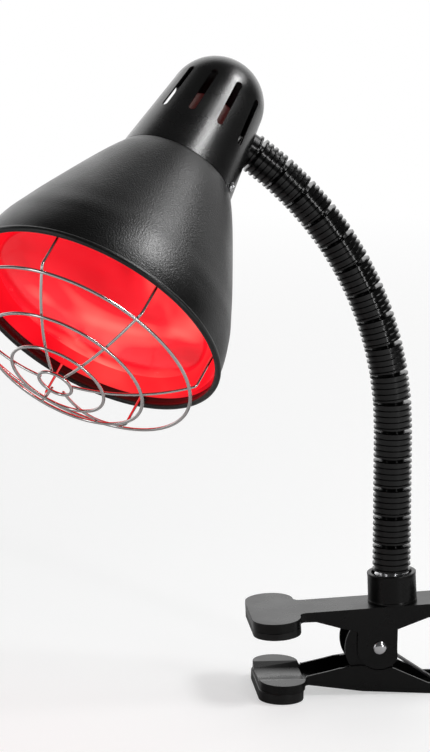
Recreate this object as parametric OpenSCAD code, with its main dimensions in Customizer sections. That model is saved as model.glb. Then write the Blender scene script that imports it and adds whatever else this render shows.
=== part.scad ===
// Clamp-mounted infrared heat therapy lamp: pressed clamp, flexible ribbed neck, round shade, wire guard.
// Millimetres. X runs along the clamp with its jaws towards -X, Z is up from the ground it stands on.

/* [Clamp] */
// Width of both clamp arms
arm_width = 26; // [21:0.5:32]
// Thickness of the pressed sheet of both arms
arm_sheet = 1.2; // [1:0.1:1.4]
// Height of the upper arm's top face above the ground, over the hinge
arm_top = 50.1; // [49.6:0.1:60]
// Slope of the upper arm, its rear end higher
arm_tilt = 3.5; // [2.5:0.1:4.2]
// Length of the handles behind the hinge
handle_length = 62; // [51:1:75]
// Span of the upper jaw across the clamp
upper_jaw_span = 62; // [51:1:75]
// Span of the lower jaw across the clamp
lower_jaw_span = 62; // [51:1:75]
// Thickness of the rubber under the upper jaw
upper_pad_thickness = 4.2; // [3:0.1:5.1]
// Radius of the hinge pin
pin_radius = 3; // [2.5:0.1:3.6]

/* [Neck] */
// Height of the plain collar at the foot of the neck
collar_height = 16.8; // [14:0.1:20.2]
// Radius of the collar
collar_radius = 13.6; // [12.6:0.1:15.6]
// Length of one rigid link of the neck
link_length = 16.3; // [13.5:0.1:19.6]
// Radius of the neck between its ribs
neck_core = 9.4; // [8.9:0.1:9.6]
// Height of each rib above the core
rib_height = 1.2; // [0.6:0.05:1.4]
// Rest bend of one joint in the curved part of the neck
neck_bend = 4.83; // [3.9:0.01:5.8]

/* [Head] */
// Turn of the head about the end of the neck
head_roll = 35.3; // [0:0.1:60]
// Distance from the end of the neck to the axis of the head
head_offset = 32.2; // [31.7:0.1:35]
// Radius of the shade at its mouth
mouth_radius = 72.8; // [72.2:0.1:76]
// Depth of the shade from the cap joint to the mouth
shade_depth = 99.3; // [98.3:0.1:106]
// Radius of the cap where it meets the shade
cap_radius = 33; // [32.4:0.1:35]
// Radius of the rolled bead round the mouth
bead_radius = 1.7; // [1.4:0.1:2]
// Radius of the wire of the guard's rings
ring_wire = 0.9; // [0.75:0.05:1.1]
// Radius of the wire of the guard's spokes
spoke_wire = 0.8; // [0.7:0.05:0.95]

/* [Hidden] */
$fa = 6;
$fs = 0.5;

// Colours
gloss_black = [0.04, 0.04, 0.045];
rubber_black = [0.07, 0.07, 0.07];
bright_steel = [0.78, 0.78, 0.8];
brass_tone = [0.75, 0.62, 0.35];
ceramic_white = [0.9, 0.89, 0.85];
lamp_red = [0.85, 0.05, 0.05];

// Clamp
half_width = arm_width / 2;
inner_half = half_width - arm_sheet;
ear_clearance = 0.3;
ear_outer = inner_half - ear_clearance;
ear_inner = ear_outer - arm_sheet;
pivot_height = 26.8;
pin_clearance = 0.05;
upper_ear = 12.4;
ear_cut = 12.95;
inner_ear = 19.3;
ear_rear = 9.9;
inner_ear_rear = 8;
upper_jaw_x = -58.9;
upper_jaw_round = 13.4;
upper_skirt = 5.3;
lower_jaw_x = -54.6;
lower_jaw_round = 12.6;
lower_jaw_top = 10.7;
lower_jaw_under = 5.9;
heel_round = 4;
plug_clearance = 0.3;
plug_height = 2.6;
lower_plug_height = 1;
groove_depth = 2.3;
groove_slant = 5.2;
slope = tan(arm_tilt);
origin_shift = 55.4;
flange_depth = 7;
reach = 200;

// Neck base
collar_x = 8.4;
stud_radius = 5;
stud_hole = 5.15;
wire_bore = 3;
stud_nut_height = 5;
stud_end = 6.5;
nut_radius = 8.66;
stud_flange = 10.4;
collar_bore = 11.2;
ball_radius = 6.5;
socket_radius = 6.8;
link_gap = 0.9;
link_ribs = 5;
rib_pitch = link_length / link_ribs;
rib_root = 0.73;
rib_crest = 0.45;
rib_outer = neck_core + rib_height;
link_count = 16;
first_bent = 6;
rest_lean = -2.5;
half_bend = neck_bend / 2;

// Head, along its own axis: 0 at the joint of cap and shade, positive towards the mouth
neck_station = 40.6;
cap_slope = 7.2;
cap_dome_station = 51.3;
cap_dome = (cap_radius - cap_dome_station * tan(cap_slope)) * cos(cap_slope) + 0.05;
cap_cone = cap_dome_station + cap_dome * sin(cap_slope);
cap_at_neck = cap_radius - neck_station * tan(cap_slope);
shank_radius = 6.8;
shank_hole = 6.95;
shank_start = 2;
locknut_radius = 10;
cap_wall = 1;
slot_width = 4;
slot_start = 24.4;
slot_end = 55.6;
slot_first = 7;
slot_step = 32.73;
slot_before = 4;
slot_after = 4;
shade_wall = 1;
spigot_length = 6;
spigot_fit = 0.15;
screw_angle = 219;
screw_station = 3;
screw_radius = 1.5;
screw_head = 2.6;
bead_inset = 0.4;
reflector_gap = 1.6;
reflector_wall = 0.6;
reflector_start = 7;
reflector_hole = 27;
lip_inset = 4.5;
lip_fit = 0.1;
guard_centre = 65.2;
guard_radius = 108.5;
ring_angles = [4.97, 14.08, 24.62, 37.73];
spoke_angles = [36, 100, 141, 214, 264.5, 313];
spoke_sphere = guard_radius - ring_wire - spoke_wire + 0.2;
spoke_start = 4.97;
spoke_finish = 38.9;
spoke_bend = 3;
spoke_foot_bend = 2;
spoke_lap = 0.25;
holder_radius = 18;
holder_back = 46;
holder_front = 10;
shell_radius = 13.9;
shell_wall = 0.5;
shell_back = 40;
base_radius = 12.2;
base_ridge = 0.8;
base_back = 35;
base_front = 9.5;
bracket_wall = 1;
holder_screw_x = 16.1;
holder_screw = 1.2;
bulb_waist = 20;
bulb_spread = 37.5;
nub_angles = [47, 155, 291];
nub_radius = 55;
bulb_neck = 12.1;
bulb_stub = 11.2;
bulb_rim = 60.5;
bulb_wall = 1.2;
bulb_front = 96.8;
bulb_rim_station = 85.8;
bulb_edge = 89.8;

function top_z(x) = arm_top + x * slope;
function lean_at(i) = arm_tilt + rest_lean + (i < first_bent ? 0 : half_bend + (i - first_bent) * neck_bend);
function neck_root() = [collar_x - collar_height * sin(arm_tilt), 0, top_z(collar_x) + collar_height * cos(arm_tilt)];
function link_root(i) = i == 1 ? neck_root()
  : link_root(i - 1) + link_length * [-sin(lean_at(i - 1)), 0, cos(lean_at(i - 1))];
function shade_points() = [for (p = [[0, 0], [0.09, 0.129], [0.2, 0.269], [0.373, 0.472], [0.55, 0.672], [0.654, 0.781],
    [0.74, 0.869], [0.81, 0.922], [0.87, 0.96], [0.93, 0.986], [1, 1]])
  [cap_radius + (mouth_radius - cap_radius) * p[1], shade_depth * p[0]]];

// Moves the hinge's frame so that the origin lies under the foot of the lower jaw
module place() {
  translate([origin_shift, 0, 0])
    children();
}

// Two equal sheets, one on each side of the clamp, from |y| = near to |y| = far
module cheeks(points, near, far) {
  for (side = [-far, near])
    translate([0, side, 0])
      rotate([90, 0, 0])
        mirror([0, 0, 1])
          linear_extrude(far - near)
            polygon(points);
}

module across(points, width) {
  rotate([90, 0, 0])
    linear_extrude(width, center = true)
      polygon(points);
}

module pivot_cylinder(radius, near, far) {
  translate([0, near, pivot_height])
    rotate([-90, 0, 0])
      cylinder(r = radius, h = far - near);
}

module arm_plan(radius) {
  translate([-reach, -radius, -reach])
    cube([reach + handle_length - half_width, 2 * radius, 2 * reach]);
  translate([handle_length - half_width, 0, -reach])
    cylinder(r = radius, h = 2 * reach);
}

module jaw_plan(centre, span, radius, low, high) {
  for (side = [-1, 1])
    translate([centre, side * (span / 2 - upper_jaw_round), low])
      cylinder(r = radius, h = high - low);
  translate([centre - radius, -(span / 2 - upper_jaw_round), low])
    cube([2 * radius, span - 2 * upper_jaw_round, high - low]);
}

// Concave fillets where the arm leaves the jaw
module heels(edge, out, width, low, high) {
  for (side = [0, 1])
    mirror([0, side, 0])
      difference() {
        translate([edge - out - 0.5, width - out - 0.5, low])
          cube([heel_round + out + 0.5, heel_round + out + 0.5, high - low]);
        translate([edge + heel_round, width + heel_round, low - 1])
          cylinder(r = heel_round + out, h = high - low + 2);
      }
}

module upper_frame() {
  translate([0, 0, arm_top])
    rotate([0, -arm_tilt, 0])
      children();
}

module upper_arm() {
  front = -46.5;
  rear = handle_length;
  outline = [[front, 0], [rear, 0], [rear, -flange_depth], [26.6, -7.7], [9.1, -13.3], [8.5, -22.5],
    [-13.8, -22.5], [-13.2, -13.2], [-23.5, -10.1], [-36.3, -5.7], [front, -upper_skirt]];
  ear_limits = [[-20, -22], [-20, -50], [7.7, -50], [8.5, -22]];
  inside = [[upper_jaw_x, -arm_sheet], [rear, -arm_sheet], [rear, -50], [upper_jaw_x, -50]];
  pivot_place = [(pivot_height - arm_top) * sin(arm_tilt), 0, (pivot_height - arm_top) * cos(arm_tilt)];
  color(gloss_black)
    place()
      upper_frame()
        difference() {
          union() {
            intersection() {
              union() {
                across(outline, arm_width);
                intersection() {
                  across(ear_limits, arm_width);
                  translate(pivot_place)
                    rotate([90, 0, 0])
                      cylinder(r = upper_ear, h = arm_width + 2, center = true);
                }
              }
              arm_plan(half_width);
            }
            jaw_plan(upper_jaw_x, upper_jaw_span, upper_jaw_round, -upper_skirt, 0);
            heels(upper_jaw_x + upper_jaw_round, 0, half_width, -upper_skirt, 0);
          }
          intersection() {
            across(inside, 2 * inner_half);
            arm_plan(inner_half);
          }
          jaw_plan(upper_jaw_x, upper_jaw_span, upper_jaw_round - arm_sheet, -upper_skirt - 1, -arm_sheet);
          translate([collar_x / cos(arm_tilt), 0, -4])
            cylinder(r = stud_hole, h = 8);
          translate(pivot_place)
            rotate([90, 0, 0])
              cylinder(r = pin_radius, h = reach, center = true);
        }
}

module upper_pad() {
  plug = upper_jaw_round - arm_sheet - plug_clearance;
  color(rubber_black)
    place()
    upper_frame() {
      jaw_plan(upper_jaw_x, upper_jaw_span, upper_jaw_round, -upper_skirt - upper_pad_thickness, -upper_skirt);
      intersection() {
        jaw_plan(upper_jaw_x, upper_jaw_span, plug, -upper_skirt - 1, -upper_skirt + plug_height);
        translate([-reach, -reach, -reach])
          cube([reach + upper_jaw_x + plug, 2 * reach, 2 * reach]);
      }
    }
}

module lower_arm() {
  front = -43.5;
  rear = handle_length;
  floor_line = [[front, lower_jaw_under], [-40, lower_jaw_under], [-23.5, 3.6], [-9, 1.8], [28, 0], [rear, 0]];
  outline = concat(floor_line, [[rear, 6], [28, 6], [ear_rear - 1.7, 14.9], [-12, 16.6], [-22.6, 15.1],
    [-28, 13.7], [-41, lower_jaw_top], [front, lower_jaw_top]]);
  inside = concat([for (p = floor_line) [p[0], p[1] + arm_sheet]], [[rear, 60], [front, 60]]);
  filler = [[-19, 4.2], [inner_ear_rear, 2.2], [inner_ear_rear, 14.9], [-12, 16.6], [-19, 15.7]];
  groove_half = inner_half + groove_slant;
  groove = [[-groove_half, lower_jaw_top + 0.01], [-inner_half, lower_jaw_top - groove_depth],
    [inner_half, lower_jaw_top - groove_depth], [groove_half, lower_jaw_top + 0.01], [groove_half, 30],
    [-groove_half, 30]];
  color(gloss_black)
    place()
    difference() {
      union() {
        intersection() {
          difference() {
            across(outline, arm_width);
            intersection() {
              across(inside, 2 * inner_half);
              arm_plan(inner_half);
            }
          }
          arm_plan(half_width);
        }
        cheeks(filler, ear_inner, inner_half + 0.4);
        difference() {
          jaw_plan(lower_jaw_x, lower_jaw_span, lower_jaw_round, lower_jaw_under, lower_jaw_top);
          jaw_plan(lower_jaw_x, lower_jaw_span, lower_jaw_round - arm_sheet, lower_jaw_under - 1,
            lower_jaw_top - groove_depth - arm_sheet);
        }
        difference() {
          heels(lower_jaw_x + lower_jaw_round, 0, half_width, lower_jaw_under, lower_jaw_top);
          translate([lower_jaw_x + lower_jaw_round, -inner_half, 0])
            cube([heel_round + 1, 2 * inner_half, 60]);
        }
        intersection() {
          union() {
            pivot_cylinder(inner_ear, -ear_outer, -ear_inner);
            pivot_cylinder(inner_ear, ear_inner, ear_outer);
          }
          translate([-reach + inner_ear_rear, -half_width, 0])
            cube([reach, arm_width, reach]);
        }
      }
      pivot_cylinder(ear_cut, -reach, -ear_outer);
      pivot_cylinder(ear_cut, ear_outer, reach);
      pivot_cylinder(pin_radius + pin_clearance, -reach, reach);
      translate([-reach, 0, 0])
        rotate([90, 0, 90])
          linear_extrude(reach + lower_jaw_x + lower_jaw_round + 1)
            polygon(groove);
    }
}

module lower_pad() {
  plug = lower_jaw_round - arm_sheet - plug_clearance;
  color(rubber_black)
  place() {
    jaw_plan(lower_jaw_x - 0.8, lower_jaw_span, lower_jaw_round, 0, lower_jaw_under);
    jaw_plan(lower_jaw_x, lower_jaw_span, plug, 1, lower_jaw_under + lower_plug_height);
  }
}

module pivot_rivet() {
  head_radius = 3.9;
  head_height = 2;
  dome = (head_radius * head_radius + head_height * head_height) / (2 * head_height);
  color(bright_steel)
  place() {
    pivot_cylinder(pin_radius, -half_width - 0.5, half_width + 0.5);
    for (side = [0, 1])
      mirror([0, side, 0])
        intersection() {
          translate([0, half_width + head_height - dome, pivot_height])
            sphere(r = dome);
          pivot_cylinder(head_radius, half_width, half_width + 5);
        }
  }
}

// Torsion spring: one swept tube round the hinge pin with a leg under each handle
spring_wire = 1.1;
spring_radius = 6.6;
spring_curls = 4.5;
spring_rings = 8;
spring_sides = 6;
spring_pitch = 2.75;
spring_start = -spring_curls * spring_pitch / 2;
upper_leg = [30, spring_start, top_z(30) - arm_sheet - spring_wire - 0.25];
lower_leg = [34, -spring_start, arm_sheet + spring_wire + 0.1];
function spring_at(angle, y) = [spring_radius * sin(angle), y, pivot_height + spring_radius * cos(angle)];
upper_take_off = atan2(-(upper_leg[2] - pivot_height), upper_leg[0]) + acos(spring_radius
  / norm([upper_leg[0], upper_leg[2] - pivot_height])) + 90 - 180;
spring_turn = [for (k = [0:spring_curls * spring_rings])
  spring_at(-45 - 360 * k / spring_rings + 0, spring_start + spring_pitch * k / spring_rings)];
spring_path = concat([upper_leg, upper_leg * 0.9 + spring_turn[0] * 0.1], spring_turn,
  [lower_leg * 0.9 + spring_turn[len(spring_turn) - 1] * 0.1, lower_leg]);

function unit(v) = v / norm(v);
function path_way(k) = let (n = len(spring_path) - 1)
  unit((k == 0 ? [0, 0, 0] : unit(spring_path[k] - spring_path[k - 1]))
    + (k == n ? [0, 0, 0] : unit(spring_path[k + 1] - spring_path[k])));
function path_side(k) = unit(cross(path_way(k), [0, 1, 0]));
function tube_ring(k) = let (a = path_side(k), b = cross(path_way(k), a))
  [for (j = [0:spring_sides - 1])
    spring_path[k] + spring_wire * (a * cos(360 * j / spring_sides) + b * sin(360 * j / spring_sides))];

module torsion_spring() {
  count = len(spring_path);
  points = [for (k = [0:count - 1]) each tube_ring(k)];
  sides = [for (k = [0:count - 2], j = [0:spring_sides - 1])
    let (a = k * spring_sides + j, b = k * spring_sides + (j + 1) % spring_sides)
      each [[a, b, b + spring_sides], [a, b + spring_sides, a + spring_sides]]];
  first = [for (j = [1:spring_sides - 2]) [0, j + 1, j]];
  base = (count - 1) * spring_sides;
  last = [for (j = [1:spring_sides - 2]) [base, base + j, base + j + 1]];
  color(bright_steel)
    place()
    polyhedron(points, concat(sides, first, last));
}

module collar_frame() {
  translate([collar_x + origin_shift, 0, top_z(collar_x)])
    rotate([0, -arm_tilt, 0])
      children();
}

module collar() {
  lip = 0.9;
  color(gloss_black)
    collar_frame()
      rotate_extrude()
        polygon([[collar_bore, 0], [collar_radius + 0.2, 0], [collar_radius + 0.2, 1.2], [collar_radius, 1.6],
          [collar_radius - 0.1, collar_height - 1.2], [collar_radius + 0.1, collar_height - lip],
          [collar_radius + 0.1, collar_height - 0.3], [collar_radius - 0.2, collar_height],
          [collar_bore + 0.3, collar_height], [collar_bore, collar_height - 0.3]]);
}

module neck_stud() {
  flange = 3;
  color(bright_steel)
    collar_frame()
      difference() {
        union() {
          translate([0, 0, -stud_end - arm_sheet])
            cylinder(r = stud_radius, h = stud_end + arm_sheet + 1);
          cylinder(r = stud_flange, h = flange);
          translate([0, 0, flange])
            cylinder(r = neck_core, h = collar_height - link_gap - flange);
          translate([0, 0, collar_height])
            sphere(r = ball_radius);
        }
        translate([0, 0, -reach])
          cylinder(r = wire_bore, h = 2 * reach);
      }
}

module stud_nut() {
  color(bright_steel)
    collar_frame()
      translate([0, 0, -arm_sheet - stud_nut_height])
        difference() {
          cylinder(r = nut_radius, h = stud_nut_height, $fn = 6);
          translate([0, 0, -1])
            cylinder(r = stud_radius, h = stud_nut_height + 2);
        }
}

module cord_grommet() {
  color(rubber_black)
    collar_frame()
      translate([0, 0, -arm_sheet - stud_end])
        rotate_extrude()
          polygon([[1.9, -1.2], [4.4, -1.2], [4.6, -0.8], [4.6, 0], [wire_bore, 0], [wire_bore, 3], [1.9, 3]]);
}

// One rigid link: five ribs, a ball on top and a socket below, both centred on the bending points
module neck_link(i) {
  profile = concat([[wire_bore, link_gap], [neck_core, link_gap]],
    [for (k = [0:link_ribs - 1]) let (c = (k + 0.5) * rib_pitch)
      each [[neck_core, c - rib_root + 0.001], [rib_outer, c - rib_crest], [rib_outer, c + rib_crest],
        [neck_core, c + rib_root - 0.001]]],
    [[neck_core, link_length - link_gap], [wire_bore, link_length - link_gap]]);
  color(gloss_black)
    translate(link_root(i) + [origin_shift, 0, 0])
      rotate([0, -lean_at(i), 0])
        difference() {
          union() {
            rotate_extrude()
              polygon(profile);
            difference() {
              translate([0, 0, link_length])
                sphere(r = ball_radius);
              translate([0, 0, link_length - 2 * ball_radius])
                cylinder(r = wire_bore, h = 4 * ball_radius);
            }
          }
          sphere(r = socket_radius);
        }
}

module neck_link_01() { neck_link(1); }
module neck_link_02() { neck_link(2); }
module neck_link_03() { neck_link(3); }
module neck_link_04() { neck_link(4); }
module neck_link_05() { neck_link(5); }
module neck_link_06() { neck_link(6); }
module neck_link_07() { neck_link(7); }
module neck_link_08() { neck_link(8); }
module neck_link_09() { neck_link(9); }
module neck_link_10() { neck_link(10); }
module neck_link_11() { neck_link(11); }
module neck_link_12() { neck_link(12); }
module neck_link_13() { neck_link(13); }
module neck_link_14() { neck_link(14); }
module neck_link_15() { neck_link(15); }
module neck_link_16() { neck_link(16); }

// Head frame: origin on the joint of cap and shade, Z towards the mouth, X away from the neck
module head_frame() {
  translate(link_root(link_count + 1) + [origin_shift, 0, 0])
    rotate([0, -(lean_at(link_count) + half_bend), 0])
      rotate([0, 0, head_roll])
        translate([0, 0, head_offset])
          rotate([0, -90, 0])
            translate([0, 0, neck_station])
              children();
}

module cap_solid(inset) {
  edge = inset / cos(cap_slope);
  foot = cap_radius - cap_cone * tan(cap_slope);
  translate([0, 0, -cap_cone])
    cylinder(r1 = foot - edge, r2 = cap_radius - edge, h = cap_cone);
  translate([0, 0, -cap_dome_station])
    sphere(r = cap_dome - inset);
}

module neck_axis() {
  translate([-head_offset, 0, -neck_station])
    rotate([0, 90, 0])
      children();
}

module neck_fitting() {
  shank = head_offset - cap_at_neck + 6.4;
  body = head_offset - cap_at_neck + 5.4;
  rib = rib_pitch / 2;
  profile = [[wire_bore, link_gap], [neck_core, link_gap], [rib_outer, rib - rib_crest],
    [rib_outer, rib + rib_crest], [neck_core, rib + rib_root], [neck_core, body], [wire_bore, body]];
  color(gloss_black)
    head_frame()
      difference() {
        union() {
          difference() {
            neck_axis()
              rotate_extrude()
                polygon(profile);
            translate([0, 0, 0.01])
              cap_solid(-0.05);
          }
          neck_axis()
            translate([0, 0, shank_start])
              difference() {
                cylinder(r = shank_radius, h = shank - shank_start);
                translate([0, 0, -1])
                  cylinder(r = wire_bore, h = shank);
              }
        }
        neck_axis()
          sphere(r = socket_radius);
      }
}

module neck_locknut() {
  seat = cap_at_neck - 3.17;
  height = 3;
  color(bright_steel)
    head_frame()
      neck_axis()
        translate([0, 0, head_offset - seat])
          difference() {
            cylinder(r = locknut_radius, h = height, $fn = 6);
            translate([0, 0, -1])
              cylinder(r = shank_radius, h = height + 2);
          }
}

module cap_slot(angle) {
  rotate([0, 0, angle]) {
    translate([14, -slot_width / 2, -slot_end + slot_width / 2])
      cube([30, slot_width, slot_end - slot_start - slot_width]);
    for (z = [slot_start + slot_width / 2, slot_end - slot_width / 2])
      translate([14, 0, -z])
        rotate([0, 90, 0])
          cylinder(r = slot_width / 2, h = 30);
  }
}

module screw_axes() {
  for (turn = [0, 180])
    rotate([0, 0, screw_angle + turn])
      translate([0, 0, -screw_station])
        rotate([0, 90, 0])
          children();
}

module vented_cap() {
  color(gloss_black)
    head_frame()
      difference() {
        cap_solid(0);
        cap_solid(cap_wall);
        translate([0, 0, -0.01])
          cylinder(r = cap_radius - cap_wall / cos(cap_slope), h = 1);
        for (k = [-slot_before:slot_after])
          cap_slot(slot_first + k * slot_step);
        neck_axis()
          cylinder(r = shank_hole, h = head_offset - 10);
        screw_axes()
          cylinder(r = screw_radius + 0.1, h = 60);
      }
}

module cap_screws() {
  outside = cap_radius - screw_station * tan(cap_slope);
  color(bright_steel)
    head_frame()
      screw_axes() {
        translate([0, 0, outside - 4.5])
          cylinder(r = screw_radius, h = 4.8);
        translate([0, 0, outside + screw_head * tan(cap_slope) + 0.05])
          cylinder(r1 = screw_head, r2 = screw_head * 0.6, h = 1.1);
      }
}

module shade() {
  outer = shade_points();
  inner = [for (p = outer) [p[0] - shade_wall, p[1]]];
  spigot_top = cap_radius - cap_wall / cos(cap_slope) - spigot_fit;
  spigot_foot = spigot_top - spigot_length * tan(cap_slope);
  rows = len(outer) - 1;
  profile = concat([[spigot_top, 0]], outer, [for (k = [rows:-1:1]) inner[k]],
    [[spigot_top - 0.8, 1], [spigot_foot - 0.8, -spigot_length], [spigot_foot, -spigot_length]]);
  color(gloss_black)
    head_frame()
      difference() {
        union() {
          rotate_extrude()
            polygon(profile);
          translate([0, 0, shade_depth])
            rotate_extrude()
              translate([mouth_radius - bead_inset, 0])
                circle(r = bead_radius);
        }
        screw_axes()
          cylinder(r = screw_radius + 0.1, h = 60);
      }
}

module inner_reflector() {
  inset = shade_wall + reflector_gap;
  lip = shade_depth - lip_inset;
  points = shade_points();
  edge = lookup(lip - reflector_wall, [for (p = points) [p[1], p[0]]]) - shade_wall - lip_fit;
  rows = [for (p = points) if (p[1] > reflector_start && p[1] < lip - 1) [p[0] - inset, p[1]]];
  start = lookup(reflector_start, [for (p = points) [p[1], p[0]]]) - inset;
  finish = lookup(lip, [for (p = points) [p[1], p[0]]]) - inset;
  outer = concat([[start, reflector_start]], rows, [[finish, lip - reflector_wall]]);
  profile = concat([[reflector_hole, reflector_start]], outer,
    [[edge, lip - reflector_wall], [edge, lip], [finish - reflector_wall, lip]],
    [for (k = [len(rows):-1:1]) outer[k] - [reflector_wall, 0]],
    [[start - reflector_wall, reflector_start + reflector_wall],
      [reflector_hole, reflector_start + reflector_wall]]);
  color(lamp_red)
    head_frame()
      rotate_extrude()
        polygon(profile);
}

// One spoke: an arc under the rings, a drop towards the shade and a foot under the bead.
// Straight pieces are a touch thicker and reach over the bends, so that each joint closes.
module guard_spoke() {
  centre = shade_depth - guard_centre;
  arc_end = [spoke_sphere * sin(spoke_finish), centre + spoke_sphere * cos(spoke_finish)];
  bend_centre = arc_end - spoke_bend * [sin(spoke_finish), cos(spoke_finish)];
  drop_x = bend_centre[0] + spoke_bend;
  foot_z = shade_depth - lip_inset + spoke_wire + 0.1;
  foot_x = drop_x + spoke_foot_bend;
  tip = mouth_radius - shade_wall - 0.4;
  bent = spoke_wire - 0.08;
  rotate([90, 0, 0]) {
    translate([0, centre, 0])
      rotate([0, 0, 90 - spoke_finish])
        rotate_extrude(angle = spoke_finish - spoke_start + 0.4)
          translate([spoke_sphere, 0])
            circle(r = bent);
    translate([arc_end[0], arc_end[1], 0])
      rotate([0, 0, -spoke_finish])
        translate([-spoke_lap, 0, 0])
          rotate([0, 90, 0])
            cylinder(r = spoke_wire, h = 2 * spoke_lap);
    translate([bend_centre[0], bend_centre[1], 0])
      rotate_extrude(angle = 90 - spoke_finish)
        translate([spoke_bend, 0])
          circle(r = bent);
    translate([drop_x, foot_z + spoke_foot_bend - spoke_lap, 0])
      rotate([-90, 0, 0])
        cylinder(r = spoke_wire, h = bend_centre[1] - foot_z - spoke_foot_bend + 2 * spoke_lap);
    translate([foot_x, foot_z + spoke_foot_bend, 0])
      rotate([0, 0, 180])
        rotate_extrude(angle = 90)
          translate([spoke_foot_bend, 0])
            circle(r = bent);
    translate([foot_x - spoke_lap, foot_z, 0])
      rotate([0, 90, 0])
        cylinder(r = spoke_wire, h = tip - foot_x + spoke_lap);
  }
}

module wire_guard() {
  centre = shade_depth - guard_centre;
  color(bright_steel)
    head_frame() {
      for (a = ring_angles)
        translate([0, 0, centre + guard_radius * cos(a)])
          rotate_extrude()
            translate([guard_radius * sin(a), 0])
              circle(r = ring_wire);
      for (a = spoke_angles)
        rotate([0, 0, a])
          guard_spoke();
    }
}

module lamp_holder() {
  bore = shell_radius + 0.05;
  color(ceramic_white)
    head_frame()
      difference() {
        rotate_extrude()
          polygon([[2.2, -holder_back], [holder_radius - 3, -holder_back], [holder_radius, -holder_back + 3],
            [holder_radius, -holder_front], [bore, -holder_front], [bore, -shell_back], [2.2, -shell_back]]);
        holder_screw_axes()
          translate([0, 0, -4.5])
            cylinder(r = holder_screw + 0.1, h = 6);
      }
}

module holder_shell() {
  color(brass_tone)
    head_frame()
      translate([0, 0, -shell_back])
        difference() {
          cylinder(r = shell_radius, h = shell_back - holder_front - 1);
          translate([0, 0, shell_wall])
            cylinder(r = shell_radius - shell_wall, h = shell_back);
          translate([0, 0, -1])
            cylinder(r = 7, h = 3);
        }
}

module holder_contact() {
  color(brass_tone)
    head_frame() {
      translate([0, 0, -holder_back - 1])
        cylinder(r = 2.1, h = holder_back - base_back - 3);
      translate([0, 0, -base_back - 4])
        cylinder(r = 4, h = 2.6);
    }
}

module holder_screw_axes() {
  for (turn = [90, 270])
    rotate([0, 0, turn])
      translate([holder_screw_x, 0, -holder_front])
        children();
}

module holder_bracket() {
  foot = cap_radius - cap_wall / cos(cap_slope) - spigot_fit - spigot_length * tan(cap_slope) - 0.8;
  rim = foot - 0.1;
  hole = shell_radius + 0.4;
  color(bright_steel)
    head_frame()
      difference() {
        rotate_extrude()
          polygon([[hole, -holder_front], [rim, -holder_front], [rim, 0], [rim - bracket_wall, 0],
            [rim - bracket_wall, bracket_wall - holder_front], [hole, bracket_wall - holder_front]]);
        screw_axes()
          cylinder(r = screw_radius + 0.1, h = 60);
        holder_screw_axes()
          translate([0, 0, -1])
            cylinder(r = holder_screw + 0.1, h = 4);
      }
}

module holder_screws() {
  color(bright_steel)
    head_frame()
      holder_screw_axes() {
        translate([0, 0, -4])
          cylinder(r = holder_screw, h = 4 + bracket_wall + 0.1);
        translate([0, 0, bracket_wall])
          cylinder(r = 2.3, h = 1.4);
      }
}

// Pressed-glass reflector bulb: a parabola that ends in a rim and a slightly domed face
module bulb_glass() {
  body = [for (z = [0:bulb_rim_station / 9:bulb_rim_station]) [sqrt(bulb_waist * bulb_waist + bulb_spread * z), z]];
  face = [for (k = [0:6]) let (r = (bulb_rim - 0.6) * (6 - k) / 6)
    [r, bulb_front - (bulb_front - bulb_edge) * pow(r / (bulb_rim - 0.6), 2)]];
  outer = concat([[bulb_stub, -14], [bulb_stub, -base_front + 0.2], [bulb_neck, -base_front + 0.4],
    [bulb_neck + 0.7, -6.5], [16, -3]], body, [[bulb_rim, bulb_rim_station + 0.6], [bulb_rim, bulb_edge - 0.8]], face);
  face_in = [for (k = [6:-1:0]) face[k] - [k == 6 ? 0 : bulb_wall, bulb_wall]];
  body_in = [for (k = [len(body) - 1:-1:0]) body[k] - [bulb_wall, 0]];
  inner = concat(face_in, [[bulb_rim - bulb_wall, bulb_rim_station + 0.8]], body_in,
    [[15, -3.4], [bulb_neck - 0.6, -6.5], [bulb_stub - 1, -base_front], [bulb_stub - 1, -14]]);
  color(lamp_red)
    head_frame() {
      rotate_extrude()
        polygon(concat(outer, inner));
      for (a = nub_angles)
        rotate([0, 0, a])
          translate([nub_radius, 0, bulb_front - (bulb_front - bulb_edge) * pow(nub_radius / bulb_rim, 2) - 0.4])
            sphere(r = 1.5);
    }
}

module bulb_cap() {
  back = base_back - 3;
  color(brass_tone)
    head_frame() {
      rotate_extrude()
        polygon([[base_radius - 0.5, -base_front], [base_radius, -base_front], [base_radius, -back + 2.5],
          [base_radius - 3.5, -back], [5, -back], [5, -back + 0.5], [base_radius - 3.8, -back + 0.5],
          [base_radius - 0.5, -back + 2.8]]);
      for (k = [0:4])
        translate([0, 0, -13 - 3.62 * k])
          rotate_extrude()
            translate([base_radius, 0])
              circle(r = base_ridge);
    }
}

module bulb_insulator() {
  back = base_back - 3;
  color(rubber_black)
    head_frame()
      translate([0, 0, -back - 2.2])
        difference() {
          cylinder(r1 = 5, r2 = 8, h = 2.2);
          translate([0, 0, -1])
            cylinder(r = 2.5, h = 5);
        }
}

module bulb_contact() {
  color(brass_tone)
    head_frame() {
      translate([0, 0, -base_back - 0.4])
        cylinder(r = 2.5, h = 3.4);
      translate([0, 0, -base_back - 1.2])
        cylinder(r1 = 3, r2 = 4.6, h = 1);
    }
}

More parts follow.
